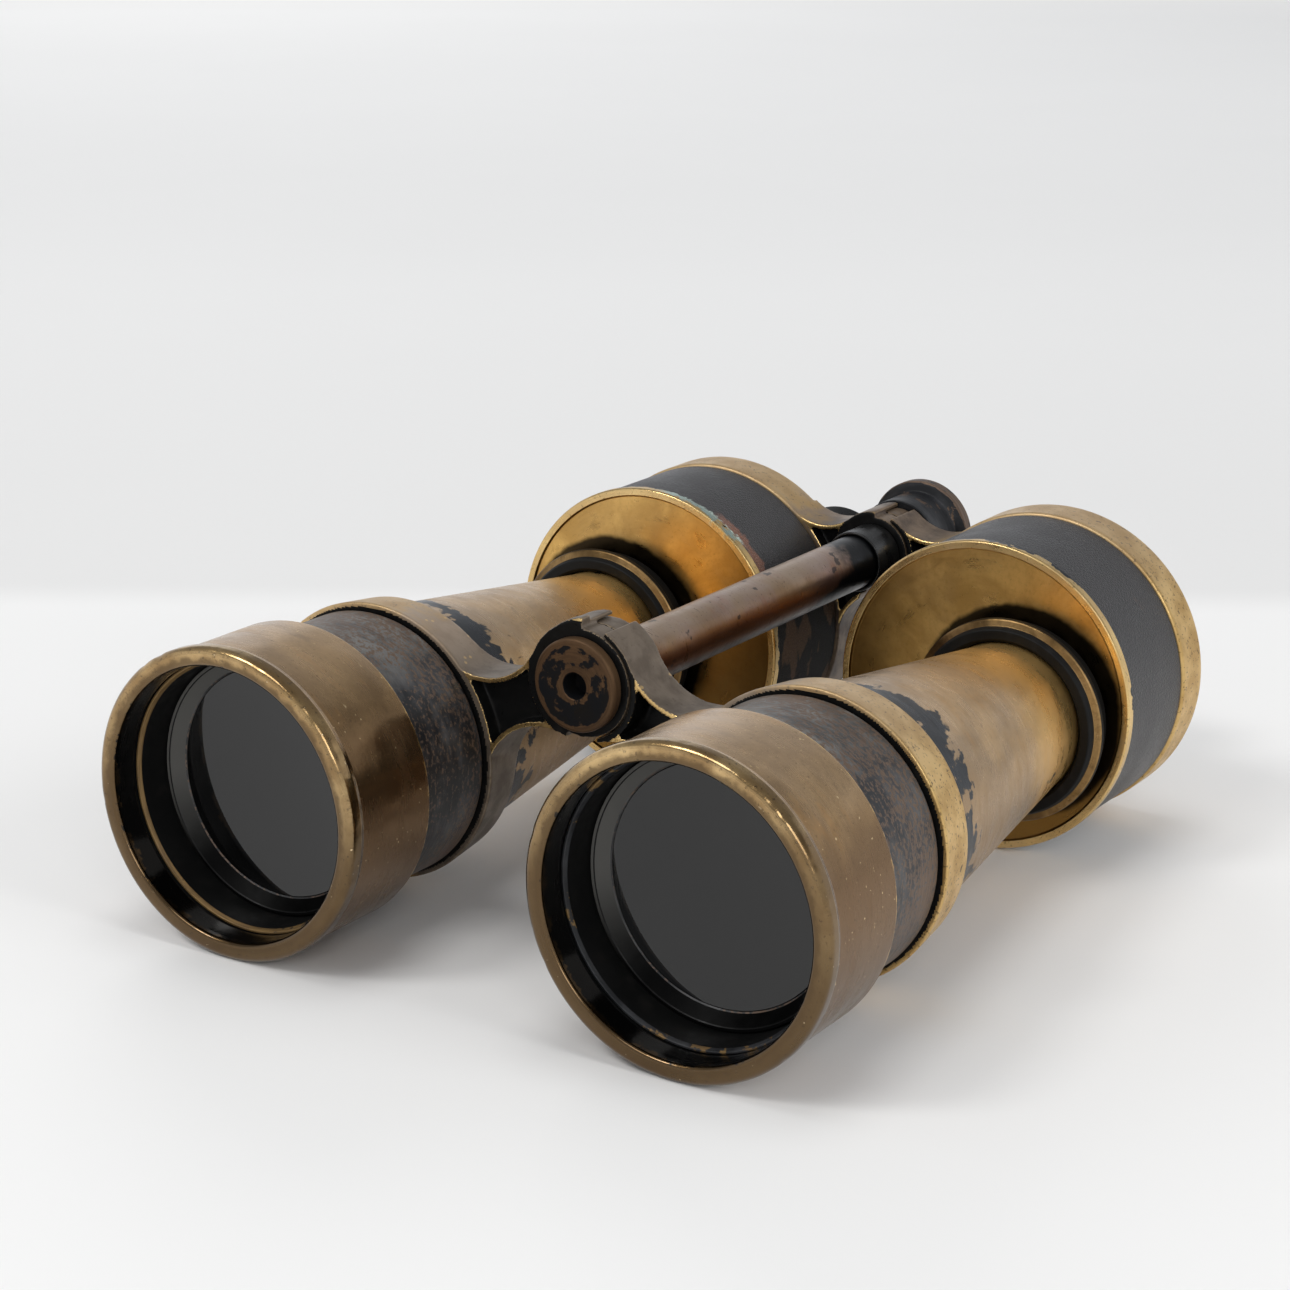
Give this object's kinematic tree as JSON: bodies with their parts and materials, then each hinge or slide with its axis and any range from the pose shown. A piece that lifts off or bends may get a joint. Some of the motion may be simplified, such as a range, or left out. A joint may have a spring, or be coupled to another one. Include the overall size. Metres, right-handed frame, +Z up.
{
  "type": "marine binoculars",
  "caption": "Old marine prism binoculars: long hooded objective barrels, leathered prism drums and webbed bridges that fold on one hinge tube.",
  "frame": {"origin": "middle of the footprint, on the table that the hood rims and drums rest on", "axes": "+Z up, through the hinge side; the objectives look along -Y and the eyepieces point to +Y; the user's left barrel is at +X"},
  "size_m": [0.1776, 0.2242, 0.073],
  "materials": {
    "aged_brass": "worn brown patina",
    "brass": "satin lacquered brass",
    "black_lacquer": "worn black lacquer over brass",
    "bronze": "dark bronze",
    "leather": "fine grained, aged black",
    "glass": "polished",
    "ebonite": "hard rubber, satin"
  },
  "bodies": {
    "right_half": {"right_objective_hood": "aged_brass", "right_objective_barrel": "black_lacquer", "right_lens_ring": "aged_brass", "right_lens_seat": "black_lacquer", "right_objective_lens": "glass", "right_objective_tube": "aged_brass", "right_tube_collar": "black_lacquer", "right_front_bridge": "aged_brass", "right_prism_plate": "brass", "right_prism_housing": "black_lacquer", "right_leather_cover": "leather", "right_prism_shelf": "brass", "right_rear_prism": "glass", "right_rear_prism_strap": "brass", "right_front_prism": "glass", "right_front_prism_strap": "brass", "right_rear_cap": "brass", "right_rear_bridge": "aged_brass", "right_eyepiece_tube": "aged_brass", "hinge_tube": "bronze", "hinge_spindle": "bronze", "hinge_screw": "black_lacquer", "hinge_cap": "black_lacquer", "hinge_collar": "black_lacquer"},
    "left_half": {"left_objective_hood": "aged_brass", "left_objective_barrel": "black_lacquer", "left_lens_ring": "aged_brass", "left_lens_seat": "black_lacquer", "left_objective_lens": "glass", "left_objective_tube": "aged_brass", "left_tube_collar": "black_lacquer", "left_front_bridge": "aged_brass", "left_prism_plate": "brass", "left_prism_housing": "black_lacquer", "left_leather_cover": "leather", "left_prism_shelf": "brass", "left_rear_prism": "glass", "left_rear_prism_strap": "brass", "left_front_prism": "glass", "left_front_prism_strap": "brass", "left_rear_cap": "brass", "left_rear_bridge": "aged_brass", "left_eyepiece_tube": "aged_brass"},
    "right_focus": {"right_focus_ring": "black_lacquer"},
    "right_ocular": {"right_draw_tube": "brass", "right_eyecup": "ebonite", "right_eye_lens": "glass", "right_field_lens": "glass", "right_field_stop": "black_lacquer"},
    "left_focus": {"left_focus_ring": "black_lacquer"},
    "left_ocular": {"left_draw_tube": "brass", "left_eyecup": "ebonite", "left_eye_lens": "glass", "left_field_lens": "glass", "left_field_stop": "black_lacquer"}
  },
  "joints": [
    {"name": "interpupillary_hinge", "type": "hinge", "parent": "right_half", "child": "left_half", "pos_m": [0, 0, 0.0569], "axis": [0, 1, 0], "range_deg": [-24, 31]},
    {"name": "right_focus_turn", "type": "hinge", "parent": "right_half", "child": "right_focus", "pos_m": [-0.03301, 0.09, 0.03993], "axis": [0, 1, 0], "range_deg": [-120, 120]},
    {"name": "right_ocular_slide", "type": "slide", "parent": "right_half", "child": "right_ocular", "axis": [0, 1, 0], "range_m": [-0.004, 0.004]},
    {"name": "left_focus_turn", "type": "hinge", "parent": "left_half", "child": "left_focus", "pos_m": [0.03301, 0.09, 0.03993], "axis": [0, 1, 0], "range_deg": [-120, 120]},
    {"name": "left_ocular_slide", "type": "slide", "parent": "left_half", "child": "left_ocular", "axis": [0, 1, 0], "range_m": [-0.004, 0.004]}
  ],
  "couplings": [
    {"joint": "right_focus_turn", "follows": "right_ocular_slide", "rad_per_m": 523.5},
    {"joint": "left_focus_turn", "follows": "left_ocular_slide", "rad_per_m": 523.5}
  ]
}
